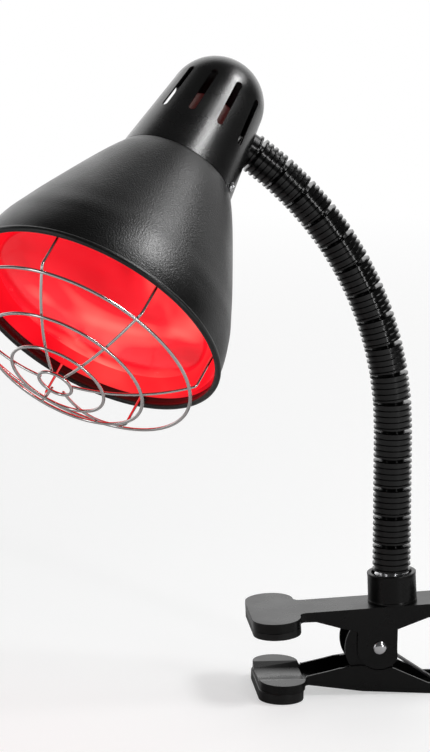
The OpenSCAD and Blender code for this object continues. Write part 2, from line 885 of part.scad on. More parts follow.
lower_arm();
lower_pad();
upper_arm();
upper_pad();
pivot_rivet();
torsion_spring();
collar();
neck_stud();
stud_nut();
cord_grommet();
neck_link_01();
neck_link_02();
neck_link_03();
neck_link_04();
neck_link_05();
neck_link_06();
neck_link_07();
neck_link_08();
neck_link_09();
neck_link_10();
neck_link_11();
neck_link_12();
neck_link_13();
neck_link_14();
neck_link_15();
neck_link_16();
neck_fitting();
neck_locknut();
vented_cap();
cap_screws();
shade();
inner_reflector();
wire_guard();
lamp_holder();
holder_shell();
holder_contact();
holder_bracket();
holder_screws();
bulb_glass();
bulb_cap();
bulb_insulator();
bulb_contact();
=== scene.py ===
"""Looks of an infrared heat lamp: pressed clamp, ribbed neck, grained shade, red bulb and wire guard.

Sizes in the classes repeat those of the CAD source. They are millimetres, and meshes are placed in metres.
"""
import logging
import math
from dataclasses import dataclass
from enum import Enum
from typing import Sequence

import bmesh
import bpy
import numpy as np
from mathutils import Matrix


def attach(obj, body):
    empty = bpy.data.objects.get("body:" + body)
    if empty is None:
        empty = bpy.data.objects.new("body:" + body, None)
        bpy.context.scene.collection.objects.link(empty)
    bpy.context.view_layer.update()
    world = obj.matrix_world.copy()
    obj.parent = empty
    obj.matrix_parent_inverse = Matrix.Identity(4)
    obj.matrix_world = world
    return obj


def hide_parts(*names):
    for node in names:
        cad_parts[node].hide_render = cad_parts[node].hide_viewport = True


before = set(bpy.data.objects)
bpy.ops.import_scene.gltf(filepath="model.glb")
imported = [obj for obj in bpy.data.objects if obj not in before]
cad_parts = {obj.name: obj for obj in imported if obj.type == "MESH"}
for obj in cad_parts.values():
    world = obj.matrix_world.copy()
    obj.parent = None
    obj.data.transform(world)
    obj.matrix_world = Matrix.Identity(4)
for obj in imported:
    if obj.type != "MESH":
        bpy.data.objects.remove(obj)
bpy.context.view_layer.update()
log = logging.getLogger("heat_lamp")
MM = 0.001
POLE_WELD = 1e-7
CAD_WELD = 2e-6
FLAT_DEGREES = 1.0
BEVEL_SEGMENTS = 2
Array = np.ndarray


# ---------------------------------------------------------------- placing and mesh making


@dataclass(frozen=True)
class Placement:
    """A right-handed set of axes at an origin, both in the row frame, in millimetres."""

    origin: Array
    axes: Array

    def world(self, local: Array) -> Array:
        """Turns local millimetres into row-frame metres: origin + x*X + y*Y + z*Z."""
        return (self.origin + local @ self.axes) * MM

    def inner(self, offset: Sequence[float], turn: Array) -> "Placement":
        """Returns a placement at a local offset, with its axes given in local terms as rows."""
        return Placement(self.origin + np.asarray(offset, float) @ self.axes, turn @ self.axes)


@dataclass(frozen=True)
class Skeleton:
    """Stations of the lamp: hinge, collar, the bending points of the neck, and the head.

    The neck leans straight for its first points and then turns by the same angle at each point.
    """

    shift: float = 55.4
    arm_top: float = 50.1
    arm_tilt: float = 3.5
    pivot_height: float = 26.8
    collar_x: float = 8.4
    collar_height: float = 16.8
    rest_lean: float = -2.5
    link: float = 16.3
    links: int = 16
    first_bent: int = 6
    bend: float = 4.83
    head_roll: float = 35.3
    head_offset: float = 32.2
    neck_station: float = 40.6

    def lean(self, index: int) -> float:
        """Returns the lean of one link from upright, in degrees, positive towards -X."""
        if index == 0:
            return self.arm_tilt
        straight = self.arm_tilt + self.rest_lean
        if index > self.links:
            return straight + (self.links - self.first_bent + 1) * self.bend
        return straight + max(0.0, index - self.first_bent + 0.5) * self.bend

    def way(self, index: int) -> Array:
        """Returns the unit direction of one link."""
        a = math.radians(self.lean(index))
        return np.array([-math.sin(a), 0.0, math.cos(a)])

    def collar_foot(self) -> Array:
        """Returns the centre of the collar's foot on the upper arm's top face."""
        rise = self.arm_top + self.collar_x * math.tan(math.radians(self.arm_tilt))
        return np.array([self.collar_x + self.shift, 0.0, rise])

    def root(self, index: int) -> Array:
        """Returns the bending point below one link: the collar's top plus the links before it."""
        point = self.collar_foot() + self.collar_height * self.way(0)
        for k in range(1, index):
            point = point + self.link * self.way(k)
        return point

    def clamp(self) -> Placement:
        """Returns the clamp's axes: upright, with the origin under the hinge."""
        return Placement(np.array([self.shift, 0.0, 0.0]), np.eye(3))

    def collar(self) -> Placement:
        """Returns the collar's axes, Z along the foot of the neck."""
        up = self.way(0)
        return Placement(self.collar_foot(), np.array([[up[2], 0.0, -up[0]], [0, 1, 0], up]))

    def neck_end(self) -> Placement:
        """Returns the axes at the last bending point, Z along the fitting that enters the cap."""
        up = self.way(self.links + 1)
        flat = np.array([[up[2], 0.0, -up[0]], [0.0, 1.0, 0.0], up])
        c, s = math.cos(math.radians(self.head_roll)), math.sin(math.radians(self.head_roll))
        return Placement(self.root(self.links + 1), np.array([[c, s, 0], [-s, c, 0], [0, 0, 1]]) @ flat)

    def head(self) -> Placement:
        """Returns the head's axes: origin at the joint of cap and shade, Z to the mouth, X off the neck."""
        quarter = np.array([[0.0, 0.0, 1.0], [0.0, 1.0, 0.0], [-1.0, 0.0, 0.0]])
        turned = self.neck_end().inner([0, 0, self.head_offset], quarter)
        return turned.inner([0, 0, self.neck_station], np.eye(3))


SKELETON = Skeleton()


def sharpen(obj: bpy.types.Object, angle: float) -> None:
    """Shades an object smooth and keeps the edges above an angle sharp.

    Args:
        obj: the mesh object.
        angle: the least angle of a sharp edge, in degrees.
    """
    obj.data.polygons.foreach_set("use_smooth", np.ones(len(obj.data.polygons), bool))
    obj.data.set_sharp_from_angle(angle=math.radians(angle))
    obj.data.update()


def grid_faces(rows: int, columns: int, start: int, around: bool, along: bool) -> Array:
    """Numbers the four corners of each cell of a grid.

    Args:
        rows: points along the first direction.
        columns: points along the second direction.
        start: the number of the grid's first point.
        around: whether the columns close on themselves.
        along: whether the rows close on themselves.

    Returns:
        An array of quads; cell (i, j) joins (i, j), (i, j+1), (i+1, j+1) and (i+1, j).
    """
    i = np.arange(rows if along else rows - 1)[:, None]
    j = np.arange(columns if around else columns - 1)[None, :]
    down, right = (i + 1) % rows, (j + 1) % columns
    corners = [i * columns + j, i * columns + right, down * columns + right, down * columns + j]
    return start + np.stack([np.broadcast_to(c, (i.size, j.size)) for c in corners], -1).reshape(-1, 4)


def make_piece(name: str, grids: Sequence[tuple[Array, bool]], angle: float = 40.0) -> bpy.types.Object:
    """Makes one mesh object from point grids whose columns go round.

    Args:
        name: the piece's name.
        grids: pairs of a (rows, columns, 3) array in metres and whether its rows close too.
        angle: edges above this many degrees stay sharp.

    Returns:
        The linked object, with doubles merged at poles and faces turned outwards.
    """
    points, quads, start = [], [], 0
    for grid, closed in grids:
        points.append(grid.reshape(-1, 3))
        quads.append(grid_faces(grid.shape[0], grid.shape[1], start, True, closed))
        start += grid.shape[0] * grid.shape[1]
    mesh = bpy.data.meshes.new(name)
    mesh.from_pydata(np.concatenate(points), [], np.concatenate(quads))
    shell = bmesh.new()
    shell.from_mesh(mesh)
    bmesh.ops.remove_doubles(shell, verts=shell.verts, dist=POLE_WELD)
    bmesh.ops.recalc_face_normals(shell, faces=shell.faces)
    shell.to_mesh(mesh)
    shell.free()
    obj = bpy.data.objects.new(name, mesh)
    bpy.context.scene.collection.objects.link(obj)
    sharpen(obj, angle)
    return obj


def revolve(profile: Array, segments: int) -> Array:
    """Turns a profile about Z: (r cos t, r sin t, z) for t once round.

    Args:
        profile: (n, 2) array of radius and station.
        segments: points round the axis.

    Returns:
        A (n, segments, 3) grid.
    """
    t = np.linspace(0, 2 * np.pi, segments, endpoint=False)
    r, z = profile[:, :1], profile[:, 1:]
    return np.stack([r * np.cos(t), r * np.sin(t), np.broadcast_to(z, (len(z), segments))], -1)


def smooth_path(points: Sequence[Sequence[float]], steps: int) -> Array:
    """Carries a soft curve through points: a centripetal Catmull-Rom spline.

    Args:
        points: (n, k) points, two or more.
        steps: samples between two points.

    Returns:
        The sampled curve, both ends included.
    """
    p = np.asarray(points, float)
    p = np.vstack([2 * p[0] - p[1], p, 2 * p[-1] - p[-2]])
    t = np.linspace(0, 1, steps, endpoint=False)[:, None, None]
    a, b, c, d = p[:-3], p[1:-2], p[2:-1], p[3:]
    linear, square, cube = c - a, 2 * a - 5 * b + 4 * c - d, 3 * b - a - 3 * c + d
    curve = 0.5 * (2 * b + linear * t + square * t**2 + cube * t**3)
    return np.vstack([curve.transpose(1, 0, 2).reshape(-1, p.shape[1]), p[-2:-1]])


def rounded(
    points: Sequence[Sequence[float]], radius: float, steps: int = 4, closed: bool = True, most: float = 0.45
) -> Array:
    """Rounds the corners of a polygon: each corner becomes a short quadratic curve.

    Args:
        points: corners in order.
        radius: how far each round reaches along both sides.
        steps: samples in each round.
        closed: whether the last corner joins the first.
        most: the largest share of a side that a round may take.

    Returns:
        The rounded outline.
    """
    p = np.asarray(points, float)
    before, after = np.roll(p, 1, 0) - p, np.roll(p, -1, 0) - p
    near, far = np.linalg.norm(before, axis=1)[:, None], np.linalg.norm(after, axis=1)[:, None]
    a = p + before / near * np.minimum(radius, most * near)
    b = p + after / far * np.minimum(radius, most * far)
    t = np.linspace(0, 1, steps)[None, :, None]
    curve = (1 - t) ** 2 * a[:, None] + 2 * t * (1 - t) * p[:, None] + t**2 * b[:, None]
    if not closed:
        curve[0], curve[-1] = p[0], p[-1]
    return curve.reshape(-1, p.shape[1])


def sweep(
    path: Array, radius: float, sides: int, across: Sequence[float], closed: bool = False, bulge: float = 0.6
) -> Array:
    """Carries a circle along a path: point + radius (cos t * side + sin t * lift).

    Args:
        path: (n, 3) points.
        radius: the tube's radius.
        sides: points round the tube.
        across: a direction that never runs along the path.
        closed: whether the path closes; an open tube gets rounded ends that shrink to a point.
        bulge: how far an open end stands out, as a share of the radius.

    Returns:
        A (rows, sides, 3) grid.
    """
    if closed:
        way = np.roll(path, -1, 0) - np.roll(path, 1, 0)
    else:
        way = np.gradient(path, axis=0)
    way /= np.linalg.norm(way, axis=1)[:, None]
    side = np.cross(way, np.asarray(across, float))
    side /= np.linalg.norm(side, axis=1)[:, None]
    lift = np.cross(way, side)
    scale = np.ones(len(path))
    if not closed:
        turn = np.radians([90, 60, 30])
        head = path[:1] - way[:1] * radius * bulge * np.sin(turn)[:, None]
        tail = path[-1:] + way[-1:] * radius * bulge * np.sin(turn[::-1])[:, None]
        path = np.vstack([head, path, tail])
        scale = np.concatenate([np.cos(turn), scale, np.cos(turn[::-1])])
        side = np.vstack([side[:1]] * len(turn) + [side] + [side[-1:]] * len(turn))
        lift = np.vstack([lift[:1]] * len(turn) + [lift] + [lift[-1:]] * len(turn))
    t = np.linspace(0, 2 * np.pi, sides, endpoint=False)[None, :, None]
    ring = np.cos(t) * side[:, None] + np.sin(t) * lift[:, None]
    return path[:, None] + radius * scale[:, None, None] * ring


def cad_copy(node: str, name: str, bevel: float, angle: float = 28.0) -> bpy.types.Object:
    """Copies a fixed node, merges its loose triangles and rounds its edges.

    Args:
        node: the node's name.
        name: the new piece's name.
        bevel: width of the rounded edges, in millimetres.
        angle: edges above this many degrees are rounded.

    Returns:
        The new object, which stands for the node.
    """
    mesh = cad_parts[node].data.copy()
    shell = bmesh.new()
    shell.from_mesh(mesh)
    bmesh.ops.remove_doubles(shell, verts=shell.verts, dist=CAD_WELD)
    bmesh.ops.dissolve_limit(
        shell, angle_limit=math.radians(FLAT_DEGREES), verts=shell.verts, edges=shell.edges,
        use_dissolve_boundaries=False,
    )
    shell.to_mesh(mesh)
    shell.free()
    mesh.materials.clear()
    obj = bpy.data.objects.new(name, mesh)
    bpy.context.scene.collection.objects.link(obj)
    if mesh.has_custom_normals:
        mesh.attributes.remove(mesh.attributes["custom_normal"])
    sharpen(obj, angle)
    rim = obj.modifiers.new("edge_round", "BEVEL")
    rim.width = bevel * MM
    rim.segments = BEVEL_SEGMENTS
    rim.limit_method = "ANGLE"
    rim.angle_limit = math.radians(angle)
    rim.use_clamp_overlap = True
    rim.harden_normals = True
    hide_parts(node)
    return obj


# ---------------------------------------------------------------- finishes


def link_math(tree: bpy.types.NodeTree, kind: str, a, b) -> bpy.types.NodeSocket:
    """Adds one Math node.

    Args:
        tree: the node tree.
        kind: the operation's name.
        a: a socket or a number.
        b: a socket or a number.

    Returns:
        The node's output.
    """
    node = tree.nodes.new("ShaderNodeMath")
    node.operation = kind
    for socket, value in zip(node.inputs, (a, b)):
        if isinstance(value, bpy.types.NodeSocket):
            tree.links.new(value, socket)
        else:
            socket.default_value = value
    return node.outputs[0]


class GrainGroup:
    """A shared shader group: a fine grain as height, and a slow cloud as a mask from 0 to 1."""

    def __init__(self) -> None:
        """Builds the group's sockets and nodes."""
        tree = bpy.data.node_groups.new("surface_grain", "ShaderNodeTree")
        face = tree.interface
        for label, value in (("Grain Scale", 900.0), ("Grain Detail", 3.0), ("Cloud Scale", 40.0)):
            socket = face.new_socket(name=label, in_out="INPUT", socket_type="NodeSocketFloat")
            socket.default_value = value
        for label in ("Height", "Cloud"):
            face.new_socket(name=label, in_out="OUTPUT", socket_type="NodeSocketFloat")
        enter, leave = tree.nodes.new("NodeGroupInput"), tree.nodes.new("NodeGroupOutput")
        place = tree.nodes.new("ShaderNodeTexCoord").outputs["Object"]
        grain = tree.nodes.new("ShaderNodeTexNoise")
        cloud = tree.nodes.new("ShaderNodeTexNoise")
        cloud.inputs["Detail"].default_value = 4.0
        for node, label in ((grain, "Grain Scale"), (cloud, "Cloud Scale")):
            tree.links.new(place, node.inputs["Vector"])
            tree.links.new(enter.outputs[label], node.inputs["Scale"])
        tree.links.new(enter.outputs["Grain Detail"], grain.inputs["Detail"])
        tree.links.new(grain.outputs["Fac"], leave.inputs["Height"])
        tree.links.new(cloud.outputs["Fac"], leave.inputs["Cloud"])
        self.tree = tree

    def place(self, tree: bpy.types.NodeTree, grain: float, detail: float, cloud: float) -> bpy.types.Node:
        """Puts the group into a material with its own values and returns the node."""
        node = tree.nodes.new("ShaderNodeGroup")
        node.node_tree = self.tree
        node.inputs["Grain Scale"].default_value = grain
        node.inputs["Grain Detail"].default_value = detail
        node.inputs["Cloud Scale"].default_value = cloud
        return node


GRAIN = GrainGroup()


@dataclass(frozen=True)
class Finish:
    """A paint, metal or plastic with a fine grain and slow changes of colour and roughness."""

    slot: str
    dark: tuple[float, float, float]
    light: tuple[float, float, float]
    roughness: tuple[float, float]
    metallic: float = 0.0
    coat: float = 0.0
    specular: float = 0.5
    grain: float = 900.0
    detail: float = 3.0
    cloud: float = 40.0
    bump: float = 0.05
    depth: float = 0.0002
    # A faint glow, used only by the lamp holder, is a painted reflection of the bulb's red light.
    glow: tuple[float, float, float] = (0.0, 0.0, 0.0)
    coat_roughness: float = 0.12
    cloud_range: tuple[float, float] = (0.3, 0.7)

    def material(self) -> bpy.types.Material:
        """Builds the material, once for each slot, and returns it."""
        name = f"{self.slot}_finish"
        if name in bpy.data.materials:
            return bpy.data.materials[name]
        made = bpy.data.materials.new(name)
        made.use_nodes = True
        tree = made.node_tree
        shader = tree.nodes["Principled BSDF"]
        shader.inputs["Metallic"].default_value = self.metallic
        shader.inputs["Coat Weight"].default_value = self.coat
        shader.inputs["Coat Roughness"].default_value = self.coat_roughness
        shader.inputs["Specular IOR Level"].default_value = self.specular
        shader.inputs["Emission Color"].default_value = (*self.glow, 1)
        shader.inputs["Emission Strength"].default_value = float(any(self.glow))
        group = GRAIN.place(tree, self.grain, self.detail, self.cloud)
        tint = tree.nodes.new("ShaderNodeMix")
        tint.data_type = "RGBA"
        tint.inputs["A"].default_value = (*self.dark, 1)
        tint.inputs["B"].default_value = (*self.light, 1)
        tree.links.new(group.outputs["Cloud"], tint.inputs["Factor"])
        tree.links.new(tint.outputs["Result"], shader.inputs["Base Color"])
        spread = tree.nodes.new("ShaderNodeMapRange")
        spread.inputs["From Min"].default_value = self.cloud_range[0]
        spread.inputs["From Max"].default_value = self.cloud_range[1]
        spread.inputs["To Min"].default_value = self.roughness[0]
        spread.inputs["To Max"].default_value = self.roughness[1]
        tree.links.new(group.outputs["Cloud"], spread.inputs["Value"])
        tree.links.new(spread.outputs["Result"], shader.inputs["Roughness"])
        bump = tree.nodes.new("ShaderNodeBump")
        bump.inputs["Strength"].default_value = self.bump
        bump.inputs["Distance"].default_value = self.depth
        tree.links.new(group.outputs["Height"], bump.inputs["Height"])
        tree.links.new(bump.outputs["Normal"], shader.inputs["Normal"])
        return made


@dataclass(frozen=True)
class LitGlass:
    """A red surface that glows: the bulb's lit glass, and the reflector lining, whose glow is a painted
    reflection of the bulb. Red with slow salmon patches, which paint pale reflections into the glow.
    """

    slot: str = "bulb_red"
    deep: tuple[float, float, float] = (0.70, 0.004, 0.012)
    red: tuple[float, float, float] = (0.95, 0.010, 0.022)
    # Salmon patches paint pale reflections into the red glow.
    salmon: tuple[float, float, float] = (1.0, 0.20, 0.16)
    glow: float = 1.0
    base: tuple[float, float, float] = (0.25, 0.0, 0.003)
    roughness: float = 0.14
    specular: float = 0.3
    veil_scale: float = 17.0
    veil_detail: float = 2.0
    veil_distortion: float = 0.7
    stops: tuple[float, float, float] = (0.30, 0.46, 0.74)

    def material(self) -> bpy.types.Material:
        """Builds the material, once for each slot, and returns it."""
        name = f"{self.slot}_finish"
        if name in bpy.data.materials:
            return bpy.data.materials[name]
        made = bpy.data.materials.new(name)
        made.use_nodes = True
        tree = made.node_tree
        shader = tree.nodes["Principled BSDF"]
        shader.inputs["Roughness"].default_value = self.roughness
        shader.inputs["Specular IOR Level"].default_value = self.specular
        shader.inputs["Emission Strength"].default_value = self.glow
        place = tree.nodes.new("ShaderNodeTexCoord").outputs["Object"]
        veil = tree.nodes.new("ShaderNodeTexNoise")
        veil.inputs["Scale"].default_value = self.veil_scale
        veil.inputs["Detail"].default_value = self.veil_detail
        veil.inputs["Distortion"].default_value = self.veil_distortion
        tree.links.new(place, veil.inputs["Vector"])
        ramp = tree.nodes.new("ShaderNodeValToRGB")
        ramp.color_ramp.elements[0].position = self.stops[0]
        ramp.color_ramp.elements[0].color = (*self.deep, 1)
        ramp.color_ramp.elements[1].position = self.stops[2]
        ramp.color_ramp.elements[1].color = (*self.salmon, 1)
        middle = ramp.color_ramp.elements.new(self.stops[1])
        middle.color = (*self.red, 1)
        tree.links.new(veil.outputs["Fac"], ramp.inputs["Fac"])
        tree.links.new(ramp.outputs["Color"], shader.inputs["Emission Color"])
        shader.inputs["Base Color"].default_value = (*self.base, 1)
        return made


class Finishes(Enum):
    """Every finish of the lamp, named for the record's slots."""

    CLAMP = Finish(
        "clamp_black", (0.003, 0.003, 0.003), (0.007, 0.007, 0.0068), (0.22, 0.34), specular=0.22,
        grain=1400, bump=0.12,
    )
    NECK = Finish(
        "neck_black", (0.002, 0.002, 0.002), (0.004, 0.004, 0.004), (0.14, 0.24), specular=0.4, bump=0.03,
    )
    SHADE = Finish(
        "shade_black", (0.002, 0.002, 0.002), (0.005, 0.005, 0.005), (0.29, 0.39), specular=0.5,
        grain=1150, detail=4, bump=0.6, depth=0.0003,
    )
    CAP = Finish(
        "cap_black", (0.003, 0.003, 0.003), (0.007, 0.007, 0.007), (0.22, 0.30), specular=0.6,
        grain=1500, bump=0.3,
    )
    RUBBER = Finish(
        "rubber_black", (0.003, 0.003, 0.003), (0.007, 0.007, 0.007), (0.36, 0.50), specular=0.35, bump=0.2,
    )
    STEEL = Finish("bright_steel", (0.66, 0.66, 0.68), (0.78, 0.78, 0.79), (0.16, 0.26), 1.0, bump=0.04)
    SPRING = Finish("spring_steel", (0.42, 0.42, 0.43), (0.56, 0.56, 0.57), (0.22, 0.34), 1.0, bump=0.05)
    CHROME = Finish("guard_chrome", (0.62, 0.61, 0.60), (0.74, 0.73, 0.72), (0.12, 0.22), 1.0, bump=0.02)
    # The reflector lining glows red: a painted reflection of the bulb's light, not a mirror.
    REFLECTOR_PAINTED_GLOW = LitGlass("reflector", (0.62, 0.003, 0.010), (0.86, 0.008, 0.018), (0.95, 0.05, 0.05), 1.0)
    # The holder's white ceramic is painted dark grey as painted shade from inside the cap, and its faint red
    # glow is a painted reflection of the bulb's light.
    CERAMIC_PAINTED_SHADE_AND_GLOW = Finish(
        "ceramic_white", (0.22, 0.20, 0.19), (0.32, 0.30, 0.28), (0.22, 0.34), coat=0.3, bump=0.05,
        glow=(0.03, 0.001, 0.001),
    )
    BRASS = Finish("brass", (0.60, 0.42, 0.17), (0.74, 0.55, 0.26), (0.24, 0.40), 1.0, bump=0.05)
    INSULATOR = Finish("insulator", (0.012, 0.012, 0.014), (0.024, 0.024, 0.026), (0.14, 0.24), bump=0.03)
    GLASS = LitGlass()


def dress(obj: bpy.types.Object, finish: Finishes, body: str) -> bpy.types.Object:
    """Gives a piece its finish and its record slot, and lets it ride on a body.

    Args:
        obj: the piece.
        finish: the finish.
        body: the body that carries it.

    Returns:
        The same object.
    """
    made = finish.value.material()
    obj.data.materials.clear()
    obj.data.materials.append(made)
    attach(obj, body)
    log.info("%s: %s faces, %s", obj.name, len(obj.data.polygons), finish.name.lower())
    return obj


def dress_node(node: str, finish: Finishes) -> None:
    """Gives a fixed node its finish and a record slot.

    Args:
        node: the node's name.
        finish: the finish.
    """
    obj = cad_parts[node]
    obj.data.materials.clear()
    obj.data.materials.append(finish.value.material())
    log.info("%s keeps its own shape, %s", node, finish.name.lower())


# ---------------------------------------------------------------- sub-assemblies


@dataclass
class Clamp:
    """Two pressed arms on a hinge rivet, with rubber pads and a torsion spring."""

    edge: float = 0.45
    pad_edge: float = 0.6
    rivet_radius: float = 3.9
    rivet_height: float = 2.0
    rivet_step: float = 0.2
    rivet_bulge: float = 0.8
    half_width: float = 13.0
    pin_radius: float = 3.0

    def arms(self) -> None:
        """Rounds the edges of both arms and pads and dresses them."""
        dress(cad_copy("lower_arm", "lower_arm_pressed", self.edge), Finishes.CLAMP, "lower_arm")
        dress(cad_copy("upper_arm", "upper_arm_pressed", self.edge), Finishes.CLAMP, "upper_arm")
        dress(cad_copy("lower_pad", "lower_pad_moulded", self.pad_edge), Finishes.RUBBER, "lower_arm")
        dress(cad_copy("upper_pad", "upper_pad_moulded", self.pad_edge), Finishes.RUBBER, "upper_arm")

    def rivet(self) -> None:
        """Builds the rivet: a pin with a domed head at each end, turned about Y."""
        lift = np.radians(np.linspace(0, 90, 9))
        outside = self.half_width + self.rivet_height * np.sin(lift)
        radius = self.rivet_radius * np.cos(lift) ** self.rivet_bulge
        dome = np.stack([radius, outside], 1)
        under = self.rivet_radius - self.rivet_step
        step = np.array([[self.pin_radius, self.half_width], [under, self.half_width]])
        half = np.vstack([[[self.pin_radius, 0.0]], step, dome])
        profile = np.vstack([half[::-1], half * [1, -1]])
        grid = revolve(profile, 48)
        turned = np.stack([grid[..., 0], grid[..., 2], grid[..., 1] + SKELETON.pivot_height], -1)
        obj = make_piece("pivot_rivet_domed", [(SKELETON.clamp().world(turned), False)], 50)
        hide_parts("pivot_rivet")
        dress(obj, Finishes.STEEL, "upper_arm")

    def build(self) -> None:
        """Builds the clamp."""
        self.arms()
        self.rivet()
        dress_node("torsion_spring", Finishes.SPRING)
        for node in ("neck_stud", "stud_nut"):
            dress_node(node, Finishes.STEEL)
        dress_node("cord_grommet", Finishes.RUBBER)


@dataclass
class Collar:
    """The plain sleeve at the foot of the neck, with a rounded lip."""

    radius: float = 13.6
    bore: float = 11.2
    height: float = 16.8
    foot: float = 0.2
    foot_heights: tuple[float, float] = (1.2, 1.6)
    lip: float = 0.1
    lip_drops: tuple[float, float] = (1.5, 1.1)
    corner: float = 0.45

    def build(self) -> None:
        """Builds the collar: a rounded outline of radius and height, turned about the neck."""
        out, top = self.radius, self.height
        corners = [
            [self.bore, 0], [out + self.foot, 0], [out + self.foot, self.foot_heights[0]],
            [out, self.foot_heights[1]], [out - self.lip, top - self.lip_drops[0]],
            [out + self.lip, top - self.lip_drops[1]], [out + self.lip, top], [self.bore, top],
        ]
        profile = rounded(corners, self.corner)
        obj = make_piece("collar_turned", [(SKELETON.collar().world(revolve(profile, 96)), True)], 60)
        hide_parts("collar")
        dress(obj, Finishes.CLAMP, "upper_arm")


@dataclass
class RibbedNeck:
    """The flexible neck: ribbed links with ball seats, which keep their fixed shape so every pose holds."""

    def build(self) -> None:
        """Dresses every link and the fitting that carries the cap."""
        for link in range(1, SKELETON.links + 1):
            dress_node(f"neck_link_{link:02d}", Finishes.NECK)
        dress_node("neck_fitting", Finishes.NECK)


@dataclass
class Head:
    """Cap, shade, reflector and the fixings that hold them."""

    cap_radius: float = 33.0
    cap_slope: float = 7.2
    mouth: float = 72.8
    depth: float = 99.3
    wall: float = 1.0
    bead: float = 1.7
    bead_inset: float = 0.4
    bead_turn: tuple[float, float] = (155.0, -125.0)
    spigot: float = 6.0
    spigot_fit: float = 0.15
    spigot_wall: float = 0.8
    lip_inset: float = 4.5
    lip_fit: float = 0.12
    lip_height: float = 0.6
    lining_gap: float = 1.6
    lining_wall: float = 0.6
    lining_hole: float = 27.0
    lining_start: float = 7.0
    screw_angle: float = 219.0
    screw_station: float = 3.0
    screw_head: float = 2.6
    screw_shank: float = 1.5
    screw_dome: tuple[float, float] = (1.4, 0.75)
    screw_length: float = 4.0
    recess_arm: float = 1.45
    recess_width: float = 0.34
    recess_depth: float = 0.7
    stations: tuple[tuple[float, float], ...] = (
        (0.0, 0.0), (0.09, 0.129), (0.2, 0.269), (0.373, 0.472), (0.55, 0.672), (0.654, 0.781),
        (0.74, 0.869), (0.81, 0.922), (0.87, 0.96), (0.93, 0.986), (1.0, 1.0),
    )

    def flare(self) -> Array:
        """Returns the shade's outside as (radius, station): shares of its spread and depth, softened."""
        share = smooth_path(self.stations, 8)
        spread = self.mouth - self.cap_radius
        return np.stack([self.cap_radius + spread * share[:, 1], self.depth * share[:, 0]], 1)

    def shade(self) -> None:
        """Builds the shade: its flare, a rolled bead, the inner wall and the spigot inside the cap."""
        out = self.flare()
        centre = np.array([self.mouth - self.bead_inset, self.depth])
        turn = np.radians(np.linspace(*self.bead_turn, 30))
        bead = centre + self.bead * np.stack([np.sin(turn), np.cos(turn)], 1)
        inside = out[::-1] - [self.wall, 0]
        slope = math.radians(self.cap_slope)
        top = self.cap_radius - self.wall / math.cos(slope) - self.spigot_fit
        foot = top - self.spigot * math.tan(slope)
        wall = self.spigot_wall
        spigot = np.array([[top - wall, 1.0], [foot - wall, -self.spigot], [foot, -self.spigot], [top, 0.0]])
        outside = out[(out[:, 1] < self.depth - 1.6) & (out[:, 1] > 0.35)]
        inner = inside[(inside[:, 1] < self.depth - 1.2) & (inside[:, 1] > 1.5)]
        edge = np.array([[self.cap_radius - 0.35, 0.0], [self.cap_radius - 0.06, 0.12]])
        profile = np.vstack([edge, outside, bead, inner, spigot])
        grid = SKELETON.head().world(revolve(profile, 192))
        obj = make_piece("shade_spun", [(grid, True)], 50)
        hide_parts("shade")
        dress(obj, Finishes.SHADE, "head")

    def reflector(self) -> None:
        """Builds the inner reflector: the flare drawn in, with a rolled lip behind the bead."""
        out = self.flare()
        lip = self.depth - self.lip_inset
        kept = (out[:, 1] > self.lining_start) & (out[:, 1] < lip - 1.5)
        skin = out[kept] - [self.wall + self.lining_gap, 0]
        rim = float(np.interp(lip, out[:, 1], out[:, 0])) - self.wall - self.lip_fit
        low = lip - self.lip_height
        edge = rounded([[rim - 1.6, low], [rim, low], [rim, lip], [rim - 2.4, lip]], 0.3, 4, False)
        start = self.lining_start
        back = np.array([[self.lining_hole, start + self.lining_wall], [self.lining_hole, start]])
        profile = np.vstack([back[1:], skin, edge, (skin - [self.lining_wall, 0])[::-1], back[:1]])
        grid = SKELETON.head().world(revolve(profile, 160))
        obj = make_piece("inner_reflector_spun", [(grid, True)], 50)
        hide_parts("inner_reflector")
        # Its red glow is a painted reflection of the bulb.
        dress(obj, Finishes.REFLECTOR_PAINTED_GLOW, "head")

    def screws(self) -> None:
        """Builds two pan-head screws: a domed head with a cross recess pressed into it."""
        spots = []
        outside = self.cap_radius - self.screw_station * math.tan(math.radians(self.cap_slope))
        reach = np.linspace(0.15, self.screw_head - 0.1, 22)
        top, fall = self.screw_dome
        head, shank = self.screw_head, self.screw_shank
        radius = np.concatenate([[0.02], reach, [head, head, shank, shank]])
        curve = top - fall * (reach / head) ** 2.6
        height = np.concatenate([[top], curve, [0.4, 0.36, 0.36, -self.screw_length]])
        grid = revolve(np.stack([radius, height], 1), 64)
        x, y = np.abs(grid[..., 0]), np.abs(grid[..., 1])
        cross = np.exp(-(np.minimum(x, y) / self.recess_width) ** 4) * (np.maximum(x, y) < self.recess_arm)
        grid[..., 2] -= self.recess_depth * cross * (grid[..., 2] > 0.5)
        for turn in (0.0, 180.0):
            a = math.radians(self.screw_angle + turn)
            out = np.array([math.cos(a), math.sin(a), 0.0])
            axes = np.array([[0.0, 0.0, 1.0], np.cross(out, [0.0, 0.0, 1.0]), out])
            spot = SKELETON.head().inner(out * (outside - 0.1) - [0, 0, self.screw_station], axes)
            spots.append((spot.world(grid), False))
        obj = make_piece("cap_screws_crossed", spots, 35)
        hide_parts("cap_screws")
        dress(obj, Finishes.STEEL, "head")

    def build(self) -> None:
        """Builds the head's shell and dresses what stays hidden in it."""
        dress(cad_copy("vented_cap", "vented_cap_spun", 0.18), Finishes.CAP, "head")
        self.shade()
        self.reflector()
        self.screws()
        dress_node("neck_locknut", Finishes.NECK)
        for node in ("holder_bracket", "holder_screws"):
            dress_node(node, Finishes.SPRING)
        # The lamp holder takes painted shade and a painted red glow.
        dress_node("lamp_holder", Finishes.CERAMIC_PAINTED_SHADE_AND_GLOW)
        for node in ("holder_shell", "holder_contact", "bulb_cap", "bulb_contact"):
            dress_node(node, Finishes.BRASS)
        dress_node("bulb_insulator", Finishes.INSULATOR)


